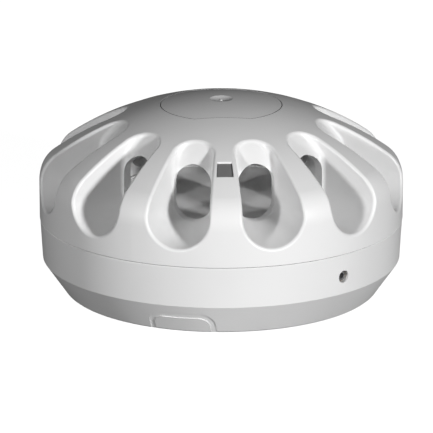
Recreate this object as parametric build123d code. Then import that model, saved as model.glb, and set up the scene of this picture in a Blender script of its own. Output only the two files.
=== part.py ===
from build123d import *
import os
from math import atan2, cos, degrees, hypot, pi, radians, sin, sqrt, tan

# ---------------------------------------------------------------------------
# Point-type heat detector on its twist-lock mounting base.
# Millimetres.  Origin at the centre of the mounting face, +Z out of the dome,
# -Y through the rib that carries the indicator window.
# Azimuths are degrees about +Z, counted from +X towards +Y.
# ---------------------------------------------------------------------------

# ----- outer cover
H_TOP = 54.2            # crown height above the mounting face
R_WALL = 51.0           # outside radius of the cover wall
R_CROWN = 80.0          # radius of the crown
R_SHOULDER = 10.0       # shoulder blend between crown and wall
SKIN = 2.0              # cover wall thickness
Z_SKIRT = 20.6          # lower edge of the cover

# ----- air slots
N_SLOTS = 12
SLOT_PITCH = 360.0 / N_SLOTS
SLOT_HALF = 9.8         # half angle between the two side walls of a slot
SLOT_AXIS_Z = 34.1      # height of the slot's cone axis
CAGE_FACE = 33.0        # flat at the back of each slot, distance from the axis
SCOOP_TOP = (26.9, 49.5)  # radius and height where the scoop leaves the crown
SCOOP_SLOPE = 50.0      # scoop floor, degrees below horizontal
SCOOP_END_R = 5.58      # full-round inner end of the slot, seen from above
CAGE_BEND = 4.0         # blend between the cage flat and the scoop floor
CAGE_CORNER = 1.6       # blend between the cage and the slot's side walls
LIP = 0.8               # rounding of the slot lips
R_CENTRE = 22.0         # plain crown inside the slots
HOLE_HALF_W = 5.3       # oblong hole in the cage wall
HOLE_Z = (28.2, 43.9)

# ----- sensing chamber and rib cores
R_CHAMBER = 31.1
CHAMBER_KNEE_Z = 41.6
RIB_WALL = 1.6
CORE_R = (35.2, 49.0)
CEILING = ((49.0, 23.5), (33.6, 26.4))  # underside of the slot sills

# ----- top cap
CAP_R = 17.1
CAP_FLAT = 15.2
CAP_T = 1.3
CAP_GAP = 0.25
CAP_DROP = 0.04         # cap lies this much below the crown around it
DIMPLE_R = 3.3
DIMPLE_DEPTH = 0.55
PIP_R = 0.6

# ----- indicator window and light pipe
WIN_R = (35.4, 40.6)
WIN_HALF = (2.05, 2.35)
WIN_RECESS = 0.45
PIPE_GAP = 0.06

# ----- case screws joining cover and lower moulding
CASE_AZ = (30.0, 150.0, 210.0, 330.0)
CASE_R = 39.4
CASE_BOSS_R = 3.1

# ----- lower moulding of the head
FLOOR_Z = (11.6, 13.2)
R_SKIRT = (42.9, 44.5)
FLANGE_Z = (20.6, 22.2)
R_FLANGE = 48.85
LUG_AZ = (10.0, 130.0, 250.0)
LUG_HALF = 9.0
LUG_R = 47.4
LUG_Z = (12.6, 14.4)
TWIST = 20.0

# ----- mounting base
BASE_R0 = 44.2
FOLD = (50.25, 9.0)
BASE_TOP = (50.87, 20.35)
BASE_FLOOR = 2.2
R_INNER = 48.4
LEDGE_R = 45.2
LEDGE_Z = (14.6, 16.4)
STOP_GAP = 0.5
KNOCKOUT_AZ = (255.0, 75.0)
KNOCKOUT_W = 18.6
KNOCKOUT_TOP = 6.3
KNOCKOUT_GROOVE = 1.6
KNOCKOUT_DEPTH = 0.35
CABLE_W = 30.0
CABLE_H = 18.0
FIX_SPACING = 55.0
FIX_TRAVEL = 5.0        # centres adjustable from 50 to 60 mm
FIX_R = 2.25

# ----- terminals
TERM_AZ = (20.0, 70.0, 120.0, 200.0, 250.0)
BLADE_TERMS = (20.0, 70.0, 120.0, 200.0)
TERM_R = 30.0
TERM_BOSS_TOP = 6.2
LEAF_T = 0.8
LEAF_W = 6.0
LEAF_REACH = 9.6
LEAF_TIP_Z = 10.05
BLADE_Z = 10.9
BLADE_T = 0.7
BLADE_TOUCH_Z = 10.25

# ----- locking screw
LOCK_AZ = 310.0
LOCK_Z = 14.0
LOCK_HOLE_R = 1.75
LOCK_SCREW_R = 1.5
LOCK_SCREW_L = 3.1
LOCK_FACE_R = 49.6
LOCK_TRAVEL = 1.8
INSERT_R = 2.5

# ----- electronics
BOARD_R = 38.5
BOARD_Z = (17.0, 18.6)
DECK_FLANGE = (34.0, 24.6, 26.2)
DECK_TOP = 25.8
PEDESTAL_R = 2.6
POST_AZ = (85.0, 205.0, 325.0)
POST_R = 33.0
BEAD_Z = 41.0
LEAD_X = 0.9

BOTTOM = (Align.CENTER, Align.CENTER, Align.MIN)


def polar(radius, azimuth, z=0.0):
    """Point at a radius and azimuth."""
    return (radius * cos(radians(azimuth)), radius * sin(radians(azimuth)), z)


def at(radius, azimuth, z=0.0):
    """Location whose local +X points radially outward."""
    return Location(polar(radius, azimuth, z), (0, 0, azimuth))


def radial_plane(radius, azimuth, z=0.0):
    """Plane facing outward, local x tangential, local y up."""
    out = polar(1.0, azimuth)
    tangent = polar(1.0, azimuth + 90.0)
    return Plane(origin=polar(radius, azimuth, z), x_dir=tangent, z_dir=out)


def cylinder(radius, z0, z1, x=0.0, y=0.0):
    return Pos(x, y, z0) * Cylinder(radius, z1 - z0, align=BOTTOM)


def ring(r_out, r_in, z0, z1):
    return cylinder(r_out, z0, z1) - cylinder(r_in, z0 - 1, z1 + 1)


def box(dx, dy, z0, z1, x=0.0, y=0.0):
    return Pos(x, y, z0) * Box(dx, dy, z1 - z0, align=BOTTOM)


def turned(points):
    """Solid of revolution from a closed radius-height outline."""
    face = make_face(Plane.XZ * Polyline(*points, close=True))
    return revolve(face, Axis.Z, 360)


def sector(r_in, r_out, z0, z1, az0, az1):
    """Slice of a ring between two azimuths."""
    steps = max(2, int(abs(az1 - az0) / 12.0) + 1)
    far = r_out * 1.3
    fan = [(0.0, 0.0)]
    for i in range(steps + 1):
        a = az0 + (az1 - az0) * i / steps
        fan.append(polar(far, a)[:2])
    wedge = extrude(make_face(Polyline(*fan, close=True)), z1 - z0)
    return ring(r_out, r_in, z0, z1) & (Pos(0, 0, z0) * wedge)


def join(items):
    """Group separate solids as one node."""
    solids = []
    for item in items:
        solids.extend(item.solids())
    return Compound(children=solids)


def dome(offset, z_floor):
    """Solid under the cover's outer surface, offset inward."""
    crown = R_CROWN - offset
    blend = R_SHOULDER - offset
    wall = R_WALL - offset
    zc = H_TOP - R_CROWN
    cx = R_WALL - R_SHOULDER
    cz = zc + sqrt((R_CROWN - R_SHOULDER) ** 2 - cx ** 2)
    k = crown / (R_CROWN - R_SHOULDER)
    touch = (cx * k, zc + (cz - zc) * k)
    half = cx * k * 0.5
    mid_crown = (half, zc + sqrt(crown ** 2 - half ** 2))
    lean = 45.0 + 0.5 * degrees(atan2(cx, cz - zc))
    mid_blend = (cx + blend * sin(radians(lean)), cz + blend * cos(radians(lean)))
    path = [
        Line((0, z_floor), (0, zc + crown)),
        ThreePointArc((0, zc + crown), mid_crown, touch),
        ThreePointArc(touch, mid_blend, (wall, cz)),
        Line((wall, cz), (wall, z_floor)),
        Line((wall, z_floor), (0, z_floor)),
    ]
    return revolve(make_face(Plane.XZ * Curve(path)), Axis.Z, 360)


def on_dome(point):
    """Whether a point lies on the cover's uncut outer surface."""
    r = hypot(point.X, point.Y)
    zc = H_TOP - R_CROWN
    cx = R_WALL - R_SHOULDER
    cz = zc + sqrt((R_CROWN - R_SHOULDER) ** 2 - cx ** 2)
    gaps = (
        r - R_WALL,
        hypot(r, point.Z - zc) - R_CROWN,
        hypot(r - cx, point.Z - cz) - R_SHOULDER,
    )
    return min(abs(gap) for gap in gaps) < 1e-3


def lip_edges(body, azimuth):
    """Edges where one slot breaks the outer surface."""
    found = []
    for edge in body.edges():
        points = [edge.position_at(u) for u in (0.1, 0.5, 0.9)]
        if not all(on_dome(p) and p.Z > Z_SKIRT + 1.0 for p in points):
            continue
        if any(hypot(p.X, p.Y) < R_CENTRE + 0.5 for p in points):
            continue
        turns = [(degrees(atan2(p.Y, p.X)) - azimuth + 180.0) % 360.0 - 180.0 for p in points]
        if all(abs(turn) < SLOT_PITCH / 2 - 1.0 for turn in turns):
            found.append(edge)
    return found


def slot_outline():
    """Slot seen from above: radial walls and a full-round inner end."""
    far = 60.0
    half = radians(SLOT_HALF)
    centre = SCOOP_END_R / sin(half)
    side = SCOOP_END_R * cos(half)
    start = centre - SCOOP_END_R * sin(half)
    wide = far * tan(half)
    path = [
        Line((wide, -far), (side, -start)),
        ThreePointArc((side, -start), (0, SCOOP_END_R - centre), (-side, -start)),
        Line((-side, -start), (-wide, -far)),
        Line((-wide, -far), (wide, -far)),
    ]
    return make_face(Curve(path))


def scoop_profile():
    """Points of the cage face and scoop floor as radius and height."""
    slope = radians(SCOOP_SLOPE)
    turn = (pi / 2 - slope) / 2
    r0, z0 = SCOOP_TOP
    knee = z0 - (CAGE_FACE - r0) * tan(slope)
    cut = CAGE_BEND * tan(turn)
    low = (CAGE_FACE, knee - cut)
    centre = (CAGE_FACE - CAGE_BEND, knee - cut)
    mid = (centre[0] + CAGE_BEND * cos(turn), centre[1] + CAGE_BEND * sin(turn))
    high = (CAGE_FACE - cut * cos(slope), knee + cut * sin(slope))
    top = (r0 - 20.0 * cos(slope), z0 + 20.0 * sin(slope))
    return low, mid, high, centre, top


def back_edges(pocket):
    """Edges round the cage face and scoop floor at the back of a pocket."""
    low, _, high, centre, top = scoop_profile()
    slope = radians(SCOOP_SLOPE)
    found = []
    for edge in pocket.edges():
        points = [edge.position_at(u) for u in (0.0, 0.25, 0.5, 0.75, 1.0)]
        gaps = []
        for p in points:
            r = -p.Y
            if p.Z <= low[1]:
                gaps.append(abs(r - CAGE_FACE))
            elif p.Z <= high[1]:
                gaps.append(abs(hypot(r - centre[0], p.Z - centre[1]) - CAGE_BEND))
            else:
                gaps.append(abs((p.Z - high[1]) * cos(slope) + (r - high[0]) * sin(slope)))
        rise = max(p.Z for p in points) - min(p.Z for p in points)
        if max(gaps) < 2e-3 and rise > 1e-3:
            found.append(edge)
    return found


def slot_cutter():
    """Pocket of one slot, centred on -Y."""
    far = 60.0
    t = tan(radians(SLOT_HALF))
    front = Plane(origin=(0, -CAGE_FACE, SLOT_AXIS_Z), x_dir=(1, 0, 0), z_dir=(0, -1, 0))
    bowl = front * Cone(CAGE_FACE * t, far * t, far - CAGE_FACE, align=BOTTOM)
    walls = Pos(0, 0, SLOT_AXIS_Z) * extrude(slot_outline(), 30.0)
    low, mid, high, _, top = scoop_profile()
    path = [
        Line((CAGE_FACE, SLOT_AXIS_Z), low),
        ThreePointArc(low, mid, high),
        Line(high, top),
        Line(top, (far + 5.0, top[1])),
        Line((far + 5.0, top[1]), (far + 5.0, SLOT_AXIS_Z)),
        Line((far + 5.0, SLOT_AXIS_Z), (CAGE_FACE, SLOT_AXIS_Z)),
    ]
    side = Plane(origin=(15.0, 0, 0), x_dir=(0, -1, 0), z_dir=(-1, 0, 0))
    pocket = bowl + (walls & extrude(side * make_face(Curve(path)), 30.0))
    return pocket.fillet(CAGE_CORNER, back_edges(pocket))


def hole_cutter():
    """Oblong hole through the cage wall, centred on -Y."""
    z0, z1 = HOLE_Z
    mid = 0.5 * (z0 + z1)
    plane = Plane(origin=(0, -24.0, mid), x_dir=(0, 0, 1), z_dir=(0, -1, 0))
    outline = plane * SlotOverall(z1 - z0, 2 * HOLE_HALF_W)
    return extrude(outline, CAGE_FACE + 3.2 - 24.0)


def rib_core():
    """Hollow of one rib, centred on -Y, before it is trimmed to the skin."""
    s = sin(radians(SLOT_PITCH / 2 - SLOT_HALF))
    r0, r1 = CORE_R
    w0 = r0 * s - RIB_WALL
    w1 = r1 * s - RIB_WALL
    plan = Polyline((-w0, -r0), (w0, -r0), (w1, -r1), (-w1, -r1), close=True)
    return Pos(0, 0, Z_SKIRT) * extrude(make_face(plan), 40.0)


def window_prism(grow, z0, z1):
    """Trapezoidal column through the indicator window."""
    r0, r1 = WIN_R
    w0, w1 = WIN_HALF
    plan = Polyline(
        (-w0 - grow, -r0 + grow),
        (w0 + grow, -r0 + grow),
        (w1 + grow, -r1 - grow),
        (-w1 - grow, -r1 - grow),
        close=True,
    )
    return Pos(0, 0, z0) * extrude(make_face(plan), z1 - z0)


def cap_blank(gap):
    """Round column with a flat at front and back."""
    column = cylinder(CAP_R - gap, 40.0, 60.0)
    return column & box(80.0, 2 * (CAP_FLAT - gap), 39.0, 61.0)


def make_segment(blank):
    """One slot with half a rib on each side, lips rounded, centred on -Y."""
    far = 70.0
    w = far * tan(radians(SLOT_PITCH / 2))
    plan = Polyline((0, 0), (w, -far), (-w, -far), close=True)
    segment = blank & extrude(make_face(plan), 70.0) & ring(70.0, R_CENTRE, 0.0, 60.0)
    segment -= slot_cutter()
    return segment.fillet(LIP, lip_edges(segment, -90.0))


def make_cover():
    blank = dome(0.0, Z_SKIRT)
    segment = make_segment(blank)
    body = blank & cylinder(R_CENTRE, 0.0, 60.0)
    for i in range(N_SLOTS):
        body = body.fuse(Rot(0, 0, SLOT_PITCH * (i + 0.5)) * segment)
    zc = H_TOP - R_CROWN
    inner = R_CROWN - SKIN
    knee = (R_CHAMBER, CHAMBER_KNEE_Z)
    run = 5.1
    top = (R_CHAMBER - run, zc + sqrt(inner ** 2 - (R_CHAMBER - run) ** 2))
    mid = (13.0, zc + sqrt(inner ** 2 - 13.0 ** 2))
    (wall_r, wall_z), (sill_r, sill_z) = CEILING
    path = [
        Line((0, Z_SKIRT - 1), (0, zc + inner)),
        ThreePointArc((0, zc + inner), mid, top),
        Line(top, knee),
        Line(knee, (R_CHAMBER, sill_z)),
        Line((R_CHAMBER, sill_z), (sill_r, sill_z)),
        Line((sill_r, sill_z), (wall_r, wall_z)),
        Line((wall_r, wall_z), (wall_r, Z_SKIRT - 1)),
        Line((wall_r, Z_SKIRT - 1), (0, Z_SKIRT - 1)),
    ]
    cavity = revolve(make_face(Plane.XZ * Curve(path)), Axis.Z, 360)
    lining = dome(SKIN, Z_SKIRT - 0.5)
    cores = [Rot(0, 0, SLOT_PITCH * i) * rib_core() for i in range(N_SLOTS)]
    hole = hole_cutter()
    holes = [Rot(0, 0, SLOT_PITCH * (i + 0.5)) * hole for i in range(N_SLOTS)]
    body -= cavity
    for core in cores:
        body -= core & lining
    body = body - holes
    body -= window_prism(0.0, 36.0, 50.0)
    for az in CASE_AZ:
        x, y, _ = polar(CASE_R, az)
        post = cylinder(CASE_BOSS_R, FLOOR_Z[1], 27.5, x, y) & dome(0.5, 5.0)
        body += post
        body -= cylinder(1.2, FLOOR_Z[1] - 1, 23.0, x, y)
    seat = dome(0.0, Z_SKIRT) - dome(CAP_T, Z_SKIRT - 1)
    body -= cap_blank(0.0) & seat
    return body


def make_cap():
    shell = dome(CAP_DROP, 30.0) - dome(CAP_T - 0.05, 29.0)
    cap = shell & cap_blank(CAP_GAP)
    bowl_r = (DIMPLE_R ** 2 + DIMPLE_DEPTH ** 2) / (2 * DIMPLE_DEPTH)
    top = H_TOP - CAP_DROP - 0.05
    cap -= Pos(0, 0, top - DIMPLE_DEPTH + bowl_r) * Sphere(bowl_r)
    pip = Pos(0, 0, top - DIMPLE_DEPTH - 0.35) * Sphere(PIP_R)
    cap += pip & cylinder(2.0, top - DIMPLE_DEPTH - 0.4, H_TOP)
    return cap


def make_light_pipe():
    g = PIPE_GAP
    head = window_prism(-g, 41.0, 50.0) & dome(WIN_RECESS, 30.0)
    r0, r1 = CORE_R[0] + 0.15, 38.6
    stem = box(2.6, r1 - r0, 23.0, 43.4, 0.0, -(r0 + r1) / 2)
    foot = box(4.4, 4.6, 20.3, 23.0, 0.0, -36.0)
    return (head & cylinder(60, 42.4, 50.0)) + stem + foot


def make_chassis():
    body = cylinder(R_SKIRT[1], FLOOR_Z[0], FLOOR_Z[1])
    body += ring(R_SKIRT[1], R_SKIRT[0], FLOOR_Z[0] - 0.6, FLANGE_Z[1])
    body += ring(R_FLANGE, R_SKIRT[0], FLANGE_Z[0], FLANGE_Z[1])
    for az in LUG_AZ:
        body += sector(R_SKIRT[0], LUG_R, LUG_Z[0], LUG_Z[1], az - LUG_HALF, az + LUG_HALF)
    stop_az = LOCK_AZ - 3.3
    body += at(R_SKIRT[1] + 0.6, stop_az, LUG_Z[0]) * Box(2.2, 1.6, 4.4, align=BOTTOM)
    for az in POST_AZ:
        x, y, _ = polar(POST_R, az)
        body += cylinder(2.6, FLOOR_Z[1] - 0.2, BOARD_Z[0], x, y)
    for az in CASE_AZ:
        x, y, _ = polar(CASE_R, az)
        body -= cylinder(1.65, FLOOR_Z[0] - 1, FLOOR_Z[1] + 1, x, y)
        body -= cylinder(2.9, FLOOR_Z[0] - 1, FLOOR_Z[0] + 0.5, x, y)
    for az in BLADE_TERMS:
        rivet_az, tab_az = blade_angles(az)
        x, y, _ = polar(TERM_R, rivet_az)
        body -= cylinder(1.35, FLOOR_Z[0] - 1, FLOOR_Z[1] + 1, x, y)
        body -= at(TERM_R, tab_az, FLOOR_Z[0] - 1) * Box(2.2, 1.1, 4.0, align=BOTTOM)
    return body


def blade_angles(az):
    """Azimuths of a blade's rivet and of its solder tab."""
    step = 180.0 / (pi * TERM_R)
    touch = az + LEAF_REACH * step
    return touch + 6.5 * step, touch + 11.3 * step


def make_deck():
    r_fl, z0, z1 = DECK_FLANGE
    body = cylinder(r_fl, z0 - 0.6, z1) - cylinder(R_CHAMBER - 0.6, DECK_TOP, z1 + 1)
    body -= cylinder(27.5, z0 - 1, DECK_TOP - 1.4)
    body += cylinder(PEDESTAL_R, DECK_TOP - 2.4, 33.5)
    body = fillet(body.edges().filter_by(GeomType.CIRCLE).group_by(Axis.Z)[-1], 0.6)
    body -= ring(32.9, 31.7, z1 - 0.7, z1 + 1)
    for az in POST_AZ:
        x, y, _ = polar(POST_R - 1.4, az)
        body += cylinder(2.0, BOARD_Z[1], z0 + 0.5, x, y)
    for side in (-1, 1):
        body -= cylinder(0.7, 20.0, 40.0, side * LEAD_X)
    return body


def make_seal():
    z1 = DECK_FLANGE[2]
    return ring(32.8, 31.8, z1 - 0.65, z1 + 0.15)


def make_thermistor():
    bead = Pos(0, 0, BEAD_Z) * Sphere(1.5)
    tail = Pos(0, 0, BEAD_Z - 2.4) * Cone(0.75, 1.25, 2.0, align=BOTTOM)
    bead = bead + tail
    z_bead = BEAD_Z - 2.6
    leads = []
    sleeves = []
    for side in (-1, 1):
        x = side * LEAD_X
        straight = cylinder(0.25, BOARD_Z[0] - 0.8, z_bead - 1.4, x)
        lean = Plane(origin=(x, 0, z_bead - 1.5), z_dir=(-side * 0.45, 0, 1.5))
        top = lean * Cylinder(0.25, 1.55, align=BOTTOM)
        leads.append(straight + top)
        sleeves.append(cylinder(0.6, 24.6, 36.4, x) - cylinder(0.3, 20, 40, x))
    leads = [lead - bead for lead in leads]
    return bead, join(leads), join(sleeves)


def make_board():
    body = cylinder(BOARD_R, BOARD_Z[0], BOARD_Z[1])
    for az in CASE_AZ:
        x, y, _ = polar(CASE_R, az)
        body -= cylinder(CASE_BOSS_R + 0.4, 10.0, 25.0, x, y)
    for side in (-1, 1):
        body -= cylinder(0.4, 10.0, 25.0, side * LEAD_X)
    for az in BLADE_TERMS:
        body -= at(TERM_R, blade_angles(az)[1], 15.0) * Box(2.1, 1.0, 5.0, align=BOTTOM)
    return body


def gull_chip(length, width, height, pins, pitch):
    """Small-outline package centred on the origin, standing on z = 0."""
    body = box(length, width, 0.12, height)
    for side in (-1, 1):
        for i in range(pins):
            x = (i - (pins - 1) / 2) * pitch
            body += box(0.4, 0.9, 0.0, 0.25, x, side * (width / 2 + 0.75))
            body += box(0.4, 0.5, 0.0, height * 0.6, x, side * (width / 2 + 0.2))
    return body


def make_electronics():
    z = BOARD_Z[1] + 0.03
    parts = {}
    led = box(3.2, 2.6, 0.0, 0.5) + cylinder(1.1, 0.4, 1.3)
    parts["indicator_led"] = Pos(0, -36.0, z) * led
    parts["microcontroller"] = Location((-13.0, 9.0, z), (0, 0, 15)) * gull_chip(8.7, 3.9, 1.6, 7, 1.27)
    can = cylinder(3.15, 0.6, 5.2) + box(6.6, 6.6, 0.0, 0.8)
    parts["electrolytic_capacitor"] = Pos(14.0, 10.0, z) * can
    bridge = box(8.2, 6.4, 0.2, 2.6)
    for sx in (-1, 1):
        for sy in (-1, 1):
            bridge += box(1.0, 2.0, 0.0, 0.9, sx * 2.55, sy * 3.9)
    parts["bridge_rectifier"] = Pos(10.5, -14.0, z) * bridge
    regulator = box(6.5, 3.5, 0.1, 1.7) + box(3.0, 1.6, 0.0, 0.5, 0.0, 2.4)
    for i in (-1, 0, 1):
        regulator += box(0.8, 1.6, 0.0, 0.5, 2.3 * i, -2.4)
    parts["voltage_regulator"] = Location((-15.0, -8.0, z), (0, 0, 90)) * regulator
    surge = box(4.4, 3.6, 0.15, 2.3) + box(5.4, 2.0, 0.0, 1.0)
    parts["surge_suppressor"] = Location((21.5, -7.0, z), (0, 0, 90)) * surge
    resistors = []
    for x, y, turn in (
        (-4.0, 8.0, 0), (-4.0, 11.0, 0), (-21.5, 3.0, 90), (-24.5, 3.0, 90), (-4.0, -12.0, 0),
        (-4.0, -15.0, 0), (4.0, -27.0, 90), (-4.0, -27.0, 90), (22.0, 3.0, 0), (6.0, 17.5, 0),
    ):
        resistors.append(Location((x, y, z), (0, 0, turn)) * Box(2.0, 1.25, 0.5, align=BOTTOM))
    parts["chip_resistors"] = join(resistors)
    chips = []
    for x, y, turn in (
        (-13.0, 14.5, 0), (-20.5, 10.0, 90), (-9.5, -8.0, 90), (-20.5, -8.0, 90), (9.0, -6.0, 0),
        (5.0, 9.0, 90),
    ):
        chips.append(Location((x, y, z), (0, 0, turn)) * Box(2.0, 1.25, 1.1, align=BOTTOM))
    parts["chip_capacitors"] = join(chips)
    return parts


def make_blades():
    """Strips riveted under the head floor that meet the base leaves."""
    blades = []
    rivets = []
    step = 180.0 / (pi * TERM_R)
    top = FLOOR_Z[0] - 0.02
    for az in BLADE_TERMS:
        touch = az + LEAF_REACH * step
        rivet_az, tab_az = blade_angles(az)
        frame = at(TERM_R, touch)
        side = Polyline(
            (-5.0, top), (-3.4, BLADE_Z), (-1.4, BLADE_TOUCH_Z), (1.4, BLADE_TOUCH_Z),
            (3.0, BLADE_Z), (9.2, BLADE_Z), (9.2, top), (3.2, top),
            (1.2, BLADE_TOUCH_Z + BLADE_T), (-1.2, BLADE_TOUCH_Z + BLADE_T), (-3.0, top),
            close=True,
        )
        plane = Plane(origin=(-2.6, 0, 0), x_dir=(0, 1, 0), z_dir=(1, 0, 0))
        strip = frame * extrude(plane * make_face(side), 5.2)
        tab = at(TERM_R, tab_az, BLADE_Z) * Box(1.8, 0.7, BOARD_Z[1] + 0.9 - BLADE_Z, align=BOTTOM)
        foot = at(TERM_R, tab_az - 2.6, BLADE_Z) * Box(5.2, 6.0, top - BLADE_Z, align=BOTTOM)
        x, y, _ = polar(TERM_R, rivet_az)
        bore = cylinder(1.3, 5.0, 20.0, x, y)
        blades.append(strip + foot + tab - bore)
        shank = cylinder(1.25, BLADE_Z - 0.35, FLOOR_Z[1] + 0.5, x, y)
        low = cylinder(2.2, BLADE_Z - 0.4, BLADE_Z - 0.03, x, y)
        high = cylinder(2.1, FLOOR_Z[1] + 0.03, FLOOR_Z[1] + 0.6, x, y)
        rivets.append(shank + low + high)
    return join(blades), join(rivets)


def make_case_screws():
    screws = []
    for az in CASE_AZ:
        x, y, _ = polar(CASE_R, az)
        z0 = FLOOR_Z[0] - 1.35
        head = cylinder(2.75, z0, FLOOR_Z[0] + 0.45, x, y)
        head = fillet(head.edges().filter_by(GeomType.CIRCLE).group_by(Axis.Z)[0], 0.6)
        shank = cylinder(1.15, FLOOR_Z[0] + 0.3, 21.5, x, y)
        drive = box(3.0, 0.7, z0 - 1, z0 + 0.9, x, y) + box(0.7, 3.0, z0 - 1, z0 + 0.9, x, y)
        screws.append(head + shank - drive)
    return join(screws)


def cone_band(depth):
    """Skin of the base cone, for grooves of constant depth."""
    r0 = BASE_R0
    r1, z1 = FOLD
    over = 1.0
    slope = (r1 - r0) / z1
    outer = turned([
        (0, -over), (r0 - slope * over + over, -over), (r1 + over, z1 - 0.3), (0, z1 - 0.3),
    ])
    inner = turned([
        (0, -over - 1), (r0 - slope * (over + 1) - depth * 1.2, -over - 1),
        (r1 - depth * 1.2, z1), (0, z1),
    ])
    return outer - inner


def make_base():
    r1, z1 = FOLD
    rt, zt = BASE_TOP
    body = turned([
        (0, 0), (BASE_R0 - 0.35, 0), (BASE_R0 + 0.1, 0.35), (r1, z1), (rt, zt - 0.25), (rt - 0.25, zt),
        (R_INNER + 0.25, zt), (R_INNER, zt - 0.5), (R_INNER, z1 + 0.6), (BASE_R0 - 1.2, BASE_FLOOR),
        (0, BASE_FLOOR),
    ])
    band = cone_band(KNOCKOUT_DEPTH)
    for az in KNOCKOUT_AZ:
        plane = radial_plane(30.0, az)
        tall = 2 * KNOCKOUT_TOP
        g = KNOCKOUT_GROOVE
        outer = plane * RectangleRounded(KNOCKOUT_W, tall, 3.6)
        inner = plane * RectangleRounded(KNOCKOUT_W - 2 * g, tall - 2 * g, 2.6)
        body -= extrude(outer - inner, 30.0) & band
    for az in LUG_AZ:
        a0 = az - LUG_HALF
        a1 = az + LUG_HALF
        body += sector(LEDGE_R, R_INNER + 0.4, LEDGE_Z[0], LEDGE_Z[1], a0 - 2.0, a1 + 0.5)
        z_low = LUG_Z[0] - 0.2
        body += sector(LEDGE_R, R_INNER + 0.4, z_low, LEDGE_Z[1], a0 - 3.0, a0 - STOP_GAP)
        far = a1 + TWIST + STOP_GAP
        body += sector(LEDGE_R, R_INNER + 0.4, z_low, LEDGE_Z[1], far, far + 2.2)
    pad = at((46.6 + R_INNER + 0.4) / 2, LOCK_AZ, LOCK_Z - 4.4)
    body += pad * Box(R_INNER + 0.4 - 46.6, 8.0, 8.8, align=BOTTOM)
    hole = radial_plane(40.0, LOCK_AZ, LOCK_Z)
    body -= hole * Cylinder(LOCK_HOLE_R, 20.0, align=BOTTOM)
    body -= hole * Cylinder(INSERT_R + 0.03, 48.95 - 40.0, align=BOTTOM)
    for az in TERM_AZ:
        boss = Box(9.0, 9.0, TERM_BOSS_TOP - BASE_FLOOR + 0.1, align=BOTTOM)
        body += at(TERM_R, az + 1.0, BASE_FLOOR - 0.1) * boss
        x, y, _ = polar(TERM_R, az)
        body -= cylinder(1.45, 1.2, 20.0, x, y)
    for sx in (-1, 1):
        slot = Pos(sx * FIX_SPACING / 2, 0, -1) * extrude(SlotCenterToCenter(FIX_TRAVEL, 2 * FIX_R), 9.0)
        rim = Pos(sx * FIX_SPACING / 2, 0, BASE_FLOOR - 0.1) * extrude(
            SlotCenterToCenter(FIX_TRAVEL, 2 * FIX_R + 6.0), 1.3
        )
        body = body + rim - slot
    opening = extrude(RectangleRounded(CABLE_W, CABLE_H, 5.0), 20.0)
    body -= Pos(0, 0, -5.0) * opening
    curb = extrude(RectangleRounded(CABLE_W + 3.0, CABLE_H + 3.0, 6.5), 1.2)
    curb -= Pos(0, 0, -1) * extrude(RectangleRounded(CABLE_W, CABLE_H, 5.0), 4.0)
    body += Pos(0, 0, BASE_FLOOR - 0.1) * curb
    return body


def make_terminals():
    leaves = []
    screws = []
    washers = []
    z0 = TERM_BOSS_TOP + 0.02
    for az in TERM_AZ:
        frame = at(TERM_R, az)
        z1 = z0 + LEAF_T
        tip = LEAF_TIP_Z
        side = Polyline(
            (-4.2, z0), (4.6, z0), (7.4, tip - LEAF_T), (LEAF_REACH + 1.0, tip - LEAF_T),
            (LEAF_REACH + 2.6, tip - LEAF_T - 0.9), (LEAF_REACH + 3.0, tip - 0.5 * LEAF_T - 0.4),
            (LEAF_REACH + 1.2, tip), (7.0, tip), (4.1, z1), (-4.2, z1), close=True,
        )
        plane = Plane(origin=(-LEAF_W / 2, 0, 0), x_dir=(0, 1, 0), z_dir=(1, 0, 0))
        leaf = frame * extrude(plane * make_face(side), LEAF_W)
        x, y, _ = polar(TERM_R, az)
        leaf -= cylinder(1.75, 0.0, 20.0, x, y)
        leaves.append(leaf)
        low = z1 + 0.02
        washer = frame * (Pos(0, 0, low) * Box(7.0, 7.0, 0.9, align=BOTTOM))
        washer -= cylinder(1.75, 0.0, 20.0, x, y)
        washers.append(washer)
        head_z = low + 0.92
        head = cylinder(2.9, head_z, head_z + 1.9, x, y)
        head = fillet(head.edges().filter_by(GeomType.CIRCLE).group_by(Axis.Z)[-1], 0.7)
        shank = cylinder(1.4, 1.6, head_z + 0.2, x, y)
        turn = az + 35.0
        slot = at(TERM_R, az, head_z + 1.0) * (Rot(0, 0, turn) * Box(0.8, 8.0, 3.0, align=BOTTOM))
        screws.append(head + shank - slot)
    return join(leaves), join(screws), join(washers)


def make_lock():
    plane = radial_plane(LOCK_FACE_R - LOCK_SCREW_L, LOCK_AZ, LOCK_Z)
    screw = plane * Cylinder(LOCK_SCREW_R, LOCK_SCREW_L, align=BOTTOM)
    screw = chamfer(screw.edges().filter_by(GeomType.CIRCLE), 0.25)
    socket_plane = radial_plane(LOCK_FACE_R - 1.6, LOCK_AZ, LOCK_Z)
    screw -= extrude(socket_plane * RegularPolygon(0.87, 6), 3.0)
    seat = radial_plane(46.65, LOCK_AZ, LOCK_Z)
    insert = seat * Cylinder(INSERT_R, 48.9 - 46.65, align=BOTTOM)
    insert -= radial_plane(40.0, LOCK_AZ, LOCK_Z) * Cylinder(LOCK_SCREW_R + 0.05, 20.0, align=BOTTOM)
    return screw, insert


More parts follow.
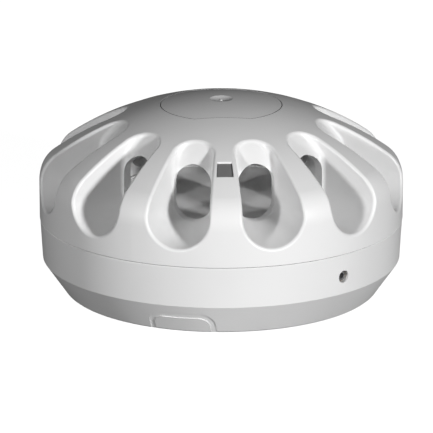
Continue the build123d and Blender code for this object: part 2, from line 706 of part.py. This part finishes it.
def build():
    parts = {}
    parts["mounting_base"] = make_base()
    leaves, screws, washers = make_terminals()
    parts["terminal_contacts"] = leaves
    parts["terminal_screws"] = screws
    parts["clamp_washers"] = washers
    parts["lock_screw"], parts["lock_screw_insert"] = make_lock()
    parts["outer_cover"] = make_cover()
    parts["top_cap"] = make_cap()
    parts["light_pipe"] = make_light_pipe()
    parts["head_chassis"] = make_chassis()
    parts["sensor_deck"] = make_deck()
    parts["deck_seal"] = make_seal()
    bead, leads, sleeves = make_thermistor()
    parts["thermistor_bead"] = bead
    parts["thermistor_leads"] = leads
    parts["thermistor_sleeves"] = sleeves
    parts["circuit_board"] = make_board()
    parts.update(make_electronics())
    blades, rivets = make_blades()
    parts["contact_blades"] = blades
    parts["contact_rivets"] = rivets
    parts["case_screws"] = make_case_screws()
    return parts


os.makedirs("parts", exist_ok=True)
for name, shape in build().items():
    export_step(shape, "parts/" + name + ".step")
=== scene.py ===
from math import cos, radians, sin

import bmesh
import bpy
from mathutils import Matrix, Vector

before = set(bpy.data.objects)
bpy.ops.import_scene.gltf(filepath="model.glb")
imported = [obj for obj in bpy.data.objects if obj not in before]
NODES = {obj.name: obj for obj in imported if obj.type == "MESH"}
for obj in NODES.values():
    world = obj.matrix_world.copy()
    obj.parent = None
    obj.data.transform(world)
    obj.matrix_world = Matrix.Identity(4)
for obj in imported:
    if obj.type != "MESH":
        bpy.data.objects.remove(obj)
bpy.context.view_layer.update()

MM = 0.001
CENTRE = Vector((0.0, 0.0, 0.028))  # middle of the object, which lights and camera aim at

GRAIN_SCALE = 2600.0
WAVE_HEIGHT = 0.0006
GRAIN_HEIGHT = 0.00003
STREAK_HEIGHT = 0.00004
TARNISH = 0.72           # how dark a metal's blotches are, of its own colour

CAP_SEAM_Z = 0.03        # lies below the whole cap
CAP_SEAM_TILT = 0.5      # cap faces with a normal's Z under this are its edge and underside, darkened as painted seam shade
BASE_SEAM_Z = 0.0202     # just under the joint between base and cover
BASE_SEAM_TILT = 0.8     # faces above that joint with a normal's Z over this face upward, darkened as painted seam shade

FLOOR_HALF = 3.0
FLOOR_DROP = 0.3 * MM    # keeps the floor clear of the mounting face
FLOOR_TONE = 0.5
FLOOR_GLOW = 0.93

LIGHT_DISTANCE = 1.3
BACKDROP = 1.0
AMBIENT = 0.015


# ---------------------------------------------------------------------------
# Materials
# ---------------------------------------------------------------------------

def new_material(name):
    mat = bpy.data.materials.new(name)
    mat.use_nodes = True
    mat.node_tree.nodes.clear()
    return mat, mat.node_tree


def link(tree, a, out, b, into):
    tree.links.new(a.outputs[out], b.inputs[into])


def shader(tree, **inputs):
    bsdf = tree.nodes.new("ShaderNodeBsdfPrincipled")
    for key, value in inputs.items():
        bsdf.inputs[key.replace("_", " ")].default_value = value
    out = tree.nodes.new("ShaderNodeOutputMaterial")
    link(tree, bsdf, "BSDF", out, "Surface")
    return bsdf


def noise(tree, coords, scale, detail=3.0, rough=0.5):
    n = tree.nodes.new("ShaderNodeTexNoise")
    n.inputs["Scale"].default_value = scale
    n.inputs["Detail"].default_value = detail
    n.inputs["Roughness"].default_value = rough
    link(tree, coords, "Object", n, "Vector")
    return n


def ramp(tree, source, out, stops):
    r = tree.nodes.new("ShaderNodeValToRGB")
    link(tree, source, out, r, "Fac")
    el = r.color_ramp.elements
    el[0].position, el[0].color = stops[0][0], stops[0][1]
    el[1].position, el[1].color = stops[-1][0], stops[-1][1]
    for pos, col in stops[1:-1]:
        e = el.new(pos)
        e.color = col
    return r


def grey(v, warm=0.0):
    return (v + warm, v, v - warm, 1.0)


def bump(tree, bsdf, layers):
    """Stack of bumps: (height source, output, strength, distance)."""
    last = None
    for source, out, strength, distance in layers:
        b = tree.nodes.new("ShaderNodeBump")
        b.inputs["Strength"].default_value = strength
        b.inputs["Distance"].default_value = distance
        link(tree, source, out, b, "Height")
        if last is not None:
            link(tree, last, "Normal", b, "Normal")
        last = b
    link(tree, last, "Normal", bsdf, "Normal")


def moulded(name, low, high, rough=(0.3, 0.42), grain=0.05, coat=0.0):
    """Injection-moulded plastic: faint colour drift, soft waviness and a fine satin grain."""
    mat, tree = new_material(name)
    bsdf = shader(tree, IOR=1.49)
    coords = tree.nodes.new("ShaderNodeTexCoord")
    drift = noise(tree, coords, 35.0, 4.0, 0.55)
    tint = ramp(tree, drift, "Fac", [(0.3, low), (0.7, high)])
    link(tree, tint, "Color", bsdf, "Base Color")
    fine = noise(tree, coords, GRAIN_SCALE, 2.0, 0.6)
    wave = noise(tree, coords, 60.0, 2.0, 0.4)
    gloss = ramp(tree, wave, "Fac", [(0.3, grey(rough[0])), (0.7, grey(rough[1]))])
    link(tree, gloss, "Color", bsdf, "Roughness")
    if coat:
        bsdf.inputs["Coat Weight"].default_value = coat
    bump(tree, bsdf, [(wave, "Fac", 0.03, WAVE_HEIGHT), (fine, "Fac", grain, GRAIN_HEIGHT)])
    return mat


def metal(name, colour, rough=(0.25, 0.42), streak=(900.0, 60.0, 60.0), metallic=1.0):
    """Rolled or turned metal: fine streaks, slight tarnish."""
    mat, tree = new_material(name)
    bsdf = shader(tree, Metallic=metallic)
    coords = tree.nodes.new("ShaderNodeTexCoord")
    scale = tree.nodes.new("ShaderNodeMapping")
    scale.inputs["Scale"].default_value = streak
    link(tree, coords, "Object", scale, "Vector")
    lines = tree.nodes.new("ShaderNodeTexNoise")
    lines.inputs["Scale"].default_value = 6.0
    lines.inputs["Detail"].default_value = 4.0
    link(tree, scale, "Vector", lines, "Vector")
    blot = noise(tree, coords, 420.0, 4.0, 0.6)
    dark = tuple(c * TARNISH for c in colour[:3]) + (1.0,)
    tint = ramp(tree, blot, "Fac", [(0.3, dark), (0.62, colour)])
    link(tree, tint, "Color", bsdf, "Base Color")
    gloss = ramp(tree, lines, "Fac", [(0.3, grey(rough[0])), (0.7, grey(rough[1]))])
    link(tree, gloss, "Color", bsdf, "Roughness")
    bump(tree, bsdf, [(lines, "Fac", 0.12, STREAK_HEIGHT)])
    return mat


def painted_seam_shade(mat, height, facing, way, tone):
    """Paint shade into a seam: darken faces above a height whose normal's Z is past the
    stated limit.
    """
    tree = mat.node_tree
    bsdf = next(n for n in tree.nodes if n.type == "BSDF_PRINCIPLED")
    tint = bsdf.inputs["Base Color"].links[0].from_socket
    coords = tree.nodes.new("ShaderNodeTexCoord")
    both = tree.nodes.new("ShaderNodeMath")
    both.operation = "MULTIPLY"
    tests = ((0, "Object", "GREATER_THAN", height), (1, "Normal", way, facing))
    for slot, out, operation, limit in tests:
        axes = tree.nodes.new("ShaderNodeSeparateXYZ")
        link(tree, coords, out, axes, 0)
        test = tree.nodes.new("ShaderNodeMath")
        test.operation = operation
        test.inputs[1].default_value = limit
        link(tree, axes, "Z", test, 0)
        link(tree, test, "Value", both, slot)
    # mix the painted shade tone into the base colour on the masked faces
    mix = tree.nodes.new("ShaderNodeMix")
    mix.data_type = "RGBA"
    link(tree, both, "Value", mix, 0)
    tree.links.new(tint, mix.inputs[6])
    mix.inputs[7].default_value = tone
    tree.links.new(mix.outputs[2], bsdf.inputs["Base Color"])


def assign(names, mat):
    for n in names:
        mesh = NODES[n].data
        mesh.materials.clear()
        mesh.materials.append(mat)
        NODES[n].active_material = mat


COVER = moulded("cover_white", grey(0.86), grey(0.885), (0.34, 0.44), 0.05)
BASE = moulded("base_white", grey(0.845), grey(0.87), (0.36, 0.46), 0.05)
CAP = moulded("cap_white", grey(0.845), grey(0.87), (0.36, 0.46), 0.05)
# painted shade: the cap's edge and underside turn near-black, standing in for the shadow
# inside the cap's seam
painted_seam_shade(CAP, CAP_SEAM_Z, CAP_SEAM_TILT, "LESS_THAN", grey(0.12))
# painted shade: the base's upward faces just under the cover joint turn dark grey, standing
# in for the shadow in that gap
painted_seam_shade(BASE, BASE_SEAM_Z, BASE_SEAM_TILT, "GREATER_THAN", grey(0.3))
INNER = moulded("deck_white", grey(0.80), grey(0.85), (0.45, 0.6), 0.08)
LENS = moulded("lens_smoke", grey(0.16), grey(0.20), (0.2, 0.3), 0.05, coat=0.2)
RUBBER = moulded("seal_rubber", grey(0.02), grey(0.035), (0.6, 0.75), 0.1)
BOARD = moulded(
    "board_green", (0.01, 0.10, 0.035, 1), (0.015, 0.14, 0.05, 1), (0.25, 0.4), 0.08,
)
CHIP = moulded("chip_black", grey(0.012), grey(0.022), (0.45, 0.6), 0.15)
LED = moulded("led_resin", grey(0.55, 0.02), grey(0.62, 0.02), (0.15, 0.25), 0.02, coat=0.4)
CERAMIC = moulded(
    "chip_ceramic", (0.30, 0.17, 0.08, 1), (0.40, 0.24, 0.12, 1), (0.35, 0.5), 0.1,
)
BEAD = moulded(
    "bead_epoxy", (0.03, 0.008, 0.006, 1), (0.05, 0.014, 0.01, 1), (0.12, 0.22), 0.03,
    coat=0.5,
)
SLEEVE = moulded("sleeve_cream", grey(0.62, 0.04), grey(0.70, 0.04), (0.4, 0.55), 0.05)
STEEL = metal("zinc_steel", (0.62, 0.63, 0.65, 1))
SCREW = metal("passivated_steel", (0.26, 0.26, 0.265, 1), (0.4, 0.55), metallic=0.45)
BRASS = metal("spring_brass", (0.72, 0.50, 0.22, 1))
TURNED = metal("turned_brass", (0.70, 0.50, 0.24, 1), (0.2, 0.34), (60.0, 60.0, 1500.0))
TIN = metal("tinned_wire", (0.70, 0.70, 0.68, 1), (0.2, 0.35))
CAN = metal("drawn_can", (0.72, 0.73, 0.75, 1), (0.22, 0.35), (60.0, 60.0, 900.0))

assign(["outer_cover"], COVER)
assign(["top_cap"], CAP)
assign(["mounting_base", "head_chassis"], BASE)
assign(["sensor_deck"], INNER)
assign(["light_pipe"], LENS)
assign(["deck_seal"], RUBBER)
assign(["circuit_board"], BOARD)
assign(["microcontroller", "bridge_rectifier", "voltage_regulator"], CHIP)
assign(["surge_suppressor", "chip_resistors"], CHIP)
assign(["chip_capacitors"], CERAMIC)
assign(["indicator_led"], LED)
assign(["electrolytic_capacitor"], CAN)
assign(["thermistor_bead"], BEAD)
assign(["thermistor_sleeves"], SLEEVE)
assign(["thermistor_leads"], TIN)
assign(["terminal_screws", "clamp_washers", "case_screws"], STEEL)
assign(["lock_screw"], SCREW)
assign(["terminal_contacts", "contact_blades"], BRASS)
assign(["lock_screw_insert", "contact_rivets"], TURNED)

# ---------------------------------------------------------------------------
# Studio
# ---------------------------------------------------------------------------

def make_floor():
    """Flat pale floor that glows evenly, is clear from below and lights nothing itself."""
    bm = bmesh.new()
    bmesh.ops.create_grid(bm, x_segments=2, y_segments=2, size=FLOOR_HALF)
    mesh = bpy.data.meshes.new("floor")
    bm.to_mesh(mesh)
    bm.free()
    floor = bpy.data.objects.new("floor", mesh)
    bpy.context.scene.collection.objects.link(floor)
    mat, tree = new_material("floor_white")
    bsdf = shader(tree, Roughness=0.9)
    bsdf.inputs["Base Color"].default_value = grey(FLOOR_TONE)
    bsdf.inputs["Specular IOR Level"].default_value = 0.0
    bsdf.inputs["Emission Color"].default_value = (1, 1, 1, 1)
    bsdf.inputs["Emission Strength"].default_value = FLOOR_GLOW
    mesh.materials.append(mat)
    side = tree.nodes.new("ShaderNodeNewGeometry")
    clear = tree.nodes.new("ShaderNodeBsdfTransparent")
    mix = tree.nodes.new("ShaderNodeMixShader")
    link(tree, side, "Backfacing", mix, "Fac")
    tree.links.new(bsdf.outputs["BSDF"], mix.inputs[1])
    tree.links.new(clear.outputs["BSDF"], mix.inputs[2])
    surface = next(n for n in tree.nodes if n.type == "OUTPUT_MATERIAL")
    link(tree, mix, "Shader", surface, "Surface")
    floor.location.z = -FLOOR_DROP
    floor.visible_shadow = False
    floor.visible_diffuse = False
    floor.visible_glossy = False
    floor.visible_transmission = False


make_floor()


def bearing(azimuth, elevation):
    """Unit vector away from the object; azimuth from -Y towards +X, in radians."""
    level = cos(elevation)
    return Vector((sin(azimuth) * level, -cos(azimuth) * level, sin(elevation)))


def area_light(name, azimuth, elevation, size, energy):
    """Soft round light aimed at the object, with both angles in degrees."""
    place = CENTRE + LIGHT_DISTANCE * bearing(radians(azimuth), radians(elevation))
    data = bpy.data.lights.new(name, "AREA")
    data.energy = energy
    data.shape = "DISK"
    data.size = size
    lamp = bpy.data.objects.new(name, data)
    lamp.location = place
    lamp.rotation_euler = (CENTRE - place).to_track_quat("-Z", "Y").to_euler()
    bpy.context.scene.collection.objects.link(lamp)
    return lamp


area_light("key_right", 36.5, 13.5, 0.14, 13.6)
area_light("key_left", -36.0, 16.0, 0.14, 6.6)
back_light = area_light("back", 180.0, 2.0, 0.08, 4.5)
back_light.visible_glossy = False  # no grazing reflection on the crown
area_light("under", 0.0, -86.0, 0.3, 0.6)


def make_world(backdrop, ambient):
    """White backdrop with a weaker ambient glow on the object."""
    world = bpy.data.worlds.new("world")
    bpy.context.scene.world = world
    world.use_nodes = True
    tree = world.node_tree
    tree.nodes.clear()
    out = tree.nodes.new("ShaderNodeOutputWorld")
    seen = tree.nodes.new("ShaderNodeBackground")
    glow = tree.nodes.new("ShaderNodeBackground")
    seen.inputs["Strength"].default_value = backdrop
    glow.inputs["Strength"].default_value = ambient
    for n in (seen, glow):
        n.inputs["Color"].default_value = (1, 1, 1, 1)
    path = tree.nodes.new("ShaderNodeLightPath")
    mix = tree.nodes.new("ShaderNodeMixShader")
    link(tree, path, "Is Camera Ray", mix, "Fac")
    tree.links.new(glow.outputs[0], mix.inputs[1])
    tree.links.new(seen.outputs[0], mix.inputs[2])
    link(tree, mix, "Shader", out, "Surface")


make_world(BACKDROP, AMBIENT)

# ---------------------------------------------------------------------------
# Camera
# ---------------------------------------------------------------------------

DISTANCE = 1.2
ELEVATION = radians(16.9)
AZIMUTH = radians(-1.45)
FOCAL_LENGTH = 355.26
SENSOR_WIDTH = 36.0
CLIP_NEAR = 0.05
CLIP_FAR = 50.0
AIM_SIDE = -1.32 * MM
AIM_UP = -7.98 * MM
back = bearing(AZIMUTH, ELEVATION)
look = -back
right = Vector((cos(AZIMUTH), sin(AZIMUTH), 0.0))
up = right.cross(look)
aim = CENTRE + right * AIM_SIDE + up * AIM_UP
cam_data = bpy.data.cameras.new("camera")
cam_data.sensor_fit = "AUTO"
cam_data.sensor_width = SENSOR_WIDTH
cam_data.lens = FOCAL_LENGTH
cam_data.clip_start = CLIP_NEAR
cam_data.clip_end = CLIP_FAR
camera = bpy.data.objects.new("camera", cam_data)
camera.location = aim + back * DISTANCE
camera.rotation_euler = look.to_track_quat("-Z", "Y").to_euler()
bpy.context.scene.collection.objects.link(camera)
bpy.context.scene.camera = camera
bpy.context.scene.view_settings.view_transform = "Standard"
